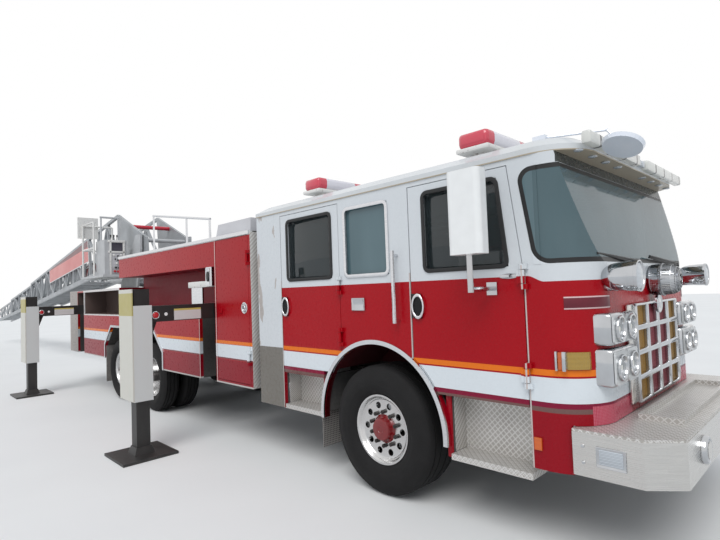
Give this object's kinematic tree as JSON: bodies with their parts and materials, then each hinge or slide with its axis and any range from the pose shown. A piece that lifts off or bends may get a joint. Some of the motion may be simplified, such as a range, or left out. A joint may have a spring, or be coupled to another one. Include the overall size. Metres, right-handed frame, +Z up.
{
  "type": "aerial ladder fire truck",
  "caption": "Four-door fire truck with a rear-mounted lattice ladder that telescopes, slews and lifts, standing on sliding outriggers with jacks.",
  "frame": {"origin": "on the ground, at the middle of the whole length and width", "axes": "+X forward, +Y to the driver's left, +Z up"},
  "size_m": [27.532, 4.92, 3.6574],
  "materials": {
    "tyre": "matt",
    "wheel_steel": "satin",
    "axle_black": "satin",
    "frame_black": "satin",
    "engine_grey": "rough",
    "cab_red": "gloss",
    "roof_white": "gloss",
    "body_red": "gloss",
    "mirror_white": "gloss",
    "flap_rubber": "matt",
    "leg_white": "satin",
    "window_glass": "clear",
    "bright_metal": "polished",
    "tread_plate": "rolled pattern",
    "lens_clear": "clear",
    "lens_red": "clear",
    "seat_cover": "woven",
    "cab_plastic": "grained",
    "mirror_black": "gloss",
    "ladder_silver": "satin",
    "board_red": "gloss",
    "ram_bright": "polished",
    "rail_silver": "satin"
  },
  "bodies": {
    "truck": {"chassis_frame": "frame_black", "engine_block": "engine_grey", "front_axle": "axle_black", "rear_axles": "axle_black", "cab_shell": "cab_red", "cab_roof": "roof_white", "cab_glass": "window_glass", "front_bumper": "bright_metal", "tread_plates": "tread_plate", "front_grille": "bright_metal", "lamp_lenses": "lens_clear", "light_bars": "lens_red", "seat_bases": "cab_plastic", "seats": "seat_cover", "dashboard": "cab_plastic", "body_right": "body_red", "body_left": "body_red", "hose_bed": "tread_plate", "turntable_pedestal": "frame_black", "bright_trim": "bright_metal", "lookdown_mirror": "mirror_white", "mudflaps": "flap_rubber"},
    "turntable": {"turntable": "leg_white", "platform_rails": "rail_silver"},
    "ladder_base": {"ladder_base": "ladder_silver", "ladder_boards": "board_red"},
    "ladder_mid": {"ladder_mid": "ladder_silver"},
    "ladder_fly": {"ladder_fly": "ladder_silver"},
    "lift_barrels": {"lift_barrels": "leg_white"},
    "lift_rods": {"lift_rods": "ram_bright"},
    "knuckle_right": {"knuckle_right": "axle_black"},
    "front_wheel_right": {"front_tyre_right": "tyre", "front_rim_right": "wheel_steel"},
    "rear_wheels_first_right": {"rear_tyres_first_right": "tyre", "rear_rims_first_right": "wheel_steel"},
    "rear_wheels_second_right": {"rear_tyres_second_right": "tyre", "rear_rims_second_right": "wheel_steel"},
    "front_door_right": {"door_front_right": "cab_red", "mirror_right": "mirror_black"},
    "crew_door_right": {"door_crew_right": "cab_red"},
    "compartment_door_right": {"compartment_door_right": "body_red"},
    "outrigger_front_right": {"outrigger_beam_front_right": "frame_black"},
    "jack_front_right": {"jack_leg_front_right": "leg_white"},
    "outrigger_rear_right": {"outrigger_beam_rear_right": "frame_black"},
    "jack_rear_right": {"jack_leg_rear_right": "leg_white"},
    "knuckle_left": {"knuckle_left": "axle_black"},
    "front_wheel_left": {"front_tyre_left": "tyre", "front_rim_left": "wheel_steel"},
    "rear_wheels_first_left": {"rear_tyres_first_left": "tyre", "rear_rims_first_left": "wheel_steel"},
    "rear_wheels_second_left": {"rear_tyres_second_left": "tyre", "rear_rims_second_left": "wheel_steel"},
    "front_door_left": {"door_front_left": "cab_red", "mirror_left": "mirror_black"},
    "crew_door_left": {"door_crew_left": "cab_red"},
    "compartment_door_left": {"compartment_door_left": "body_red"},
    "outrigger_front_left": {"outrigger_beam_front_left": "frame_black"},
    "jack_front_left": {"jack_leg_front_left": "leg_white"},
    "outrigger_rear_left": {"outrigger_beam_rear_left": "frame_black"},
    "jack_rear_left": {"jack_leg_rear_left": "leg_white"}
  },
  "joints": [
    {"name": "steer_right", "type": "hinge", "parent": "truck", "child": "knuckle_right", "pos_m": [11.469, -0.86, 0.556], "axis": [0, 0, 1], "range_deg": [-40, 40]},
    {"name": "roll_front_right", "type": "hinge", "parent": "knuckle_right", "child": "front_wheel_right", "pos_m": [11.469, -1.02, 0.556], "axis": [0, 1, 0], "continuous": true},
    {"name": "roll_rear_first_right", "type": "hinge", "parent": "truck", "child": "rear_wheels_first_right", "pos_m": [6.543, -0.935, 0.53], "axis": [0, 1, 0], "continuous": true},
    {"name": "roll_rear_second_right", "type": "hinge", "parent": "truck", "child": "rear_wheels_second_right", "pos_m": [5.169, -0.935, 0.53], "axis": [0, 1, 0], "continuous": true},
    {"name": "open_front_door_right", "type": "hinge", "parent": "truck", "child": "front_door_right", "pos_m": [12.876, -1.246, 1.6], "axis": [0, 0, 1], "range_deg": [0, 80]},
    {"name": "open_crew_door_right", "type": "hinge", "parent": "truck", "child": "crew_door_right", "pos_m": [11.04, -1.246, 1.6], "axis": [0, 0, 1], "range_deg": [0, 80]},
    {"name": "open_compartment_door_right", "type": "hinge", "parent": "truck", "child": "compartment_door_right", "pos_m": [9.541, -1.296, 1.6], "axis": [0, 0, 1], "range_deg": [0, 110]},
    {"name": "outrigger_front_right", "type": "slide", "parent": "truck", "child": "outrigger_front_right", "axis": [0, -1, 0], "range_m": [-1.02, 0]},
    {"name": "jack_front_right", "type": "slide", "parent": "outrigger_front_right", "child": "jack_front_right", "axis": [0, 0, -1], "range_m": [-0.42, 0.15]},
    {"name": "outrigger_rear_right", "type": "slide", "parent": "truck", "child": "outrigger_rear_right", "axis": [0, -1, 0], "range_m": [-1.02, 0]},
    {"name": "jack_rear_right", "type": "slide", "parent": "outrigger_rear_right", "child": "jack_rear_right", "axis": [0, 0, -1], "range_m": [-0.42, 0.15]},
    {"name": "steer_left", "type": "hinge", "parent": "truck", "child": "knuckle_left", "pos_m": [11.469, 0.86, 0.556], "axis": [0, 0, 1], "range_deg": [-40, 40]},
    {"name": "roll_front_left", "type": "hinge", "parent": "knuckle_left", "child": "front_wheel_left", "pos_m": [11.469, 1.02, 0.556], "axis": [0, 1, 0], "continuous": true},
    {"name": "roll_rear_first_left", "type": "hinge", "parent": "truck", "child": "rear_wheels_first_left", "pos_m": [6.543, 0.935, 0.53], "axis": [0, 1, 0], "continuous": true},
    {"name": "roll_rear_second_left", "type": "hinge", "parent": "truck", "child": "rear_wheels_second_left", "pos_m": [5.169, 0.935, 0.53], "axis": [0, 1, 0], "continuous": true},
    {"name": "open_front_door_left", "type": "hinge", "parent": "truck", "child": "front_door_left", "pos_m": [12.876, 1.246, 1.6], "axis": [0, 0, -1], "range_deg": [0, 80]},
    {"name": "open_crew_door_left", "type": "hinge", "parent": "truck", "child": "crew_door_left", "pos_m": [11.04, 1.246, 1.6], "axis": [0, 0, -1], "range_deg": [0, 80]},
    {"name": "open_compartment_door_left", "type": "hinge", "parent": "truck", "child": "compartment_door_left", "pos_m": [9.541, 1.296, 1.6], "axis": [0, 0, -1], "range_deg": [0, 110]},
    {"name": "outrigger_front_left", "type": "slide", "parent": "truck", "child": "outrigger_front_left", "axis": [0, 1, 0], "range_m": [-1.02, 0]},
    {"name": "jack_front_left", "type": "slide", "parent": "outrigger_front_left", "child": "jack_front_left", "axis": [0, 0, -1], "range_m": [-0.42, 0.15]},
    {"name": "outrigger_rear_left", "type": "slide", "parent": "truck", "child": "outrigger_rear_left", "axis": [0, 1, 0], "range_m": [-1.02, 0]},
    {"name": "jack_rear_left", "type": "slide", "parent": "outrigger_rear_left", "child": "jack_rear_left", "axis": [0, 0, -1], "range_m": [-0.42, 0.15]},
    {"name": "turntable_slew", "type": "hinge", "parent": "truck", "child": "turntable", "pos_m": [3.569, 0, 1.79], "axis": [0, 0, 1], "range_deg": [-110, 110]},
    {"name": "ladder_elevation", "type": "hinge", "parent": "turntable", "child": "ladder_base", "pos_m": [4.319, 0, 2.95], "axis": [0, 1, 0], "range_deg": [0, 78]},
    {"name": "mid_extend", "type": "slide", "parent": "ladder_base", "child": "ladder_mid", "axis": [-0.9945, 0, -0.1045], "range_m": [-4.3, 2.4]},
    {"name": "fly_extend", "type": "slide", "parent": "ladder_mid", "child": "ladder_fly", "axis": [-0.9945, 0, -0.1045], "range_m": [-4.3, 2.4]},
    {"name": "lift_swing", "type": "hinge", "parent": "turntable", "child": "lift_barrels", "pos_m": [4.119, 0, 2.08], "axis": [0, 1, 0], "range_deg": [-1, 70]},
    {"name": "lift_stroke", "type": "slide", "parent": "lift_barrels", "child": "lift_rods", "axis": [-0.997, 0, 0.0775], "range_m": [-0.01, 1.03]}
  ],
  "couplings": [
    {"joint": "steer_left", "follows": "steer_right", "ratio": 1},
    {"joint": "fly_extend", "follows": "mid_extend", "ratio": 1},
    {"joint": "lift_swing", "follows": "ladder_elevation", "ratio": 0.879},
    {"joint": "lift_stroke", "follows": "ladder_elevation", "m_per_rad": 0.7458}
  ]
}
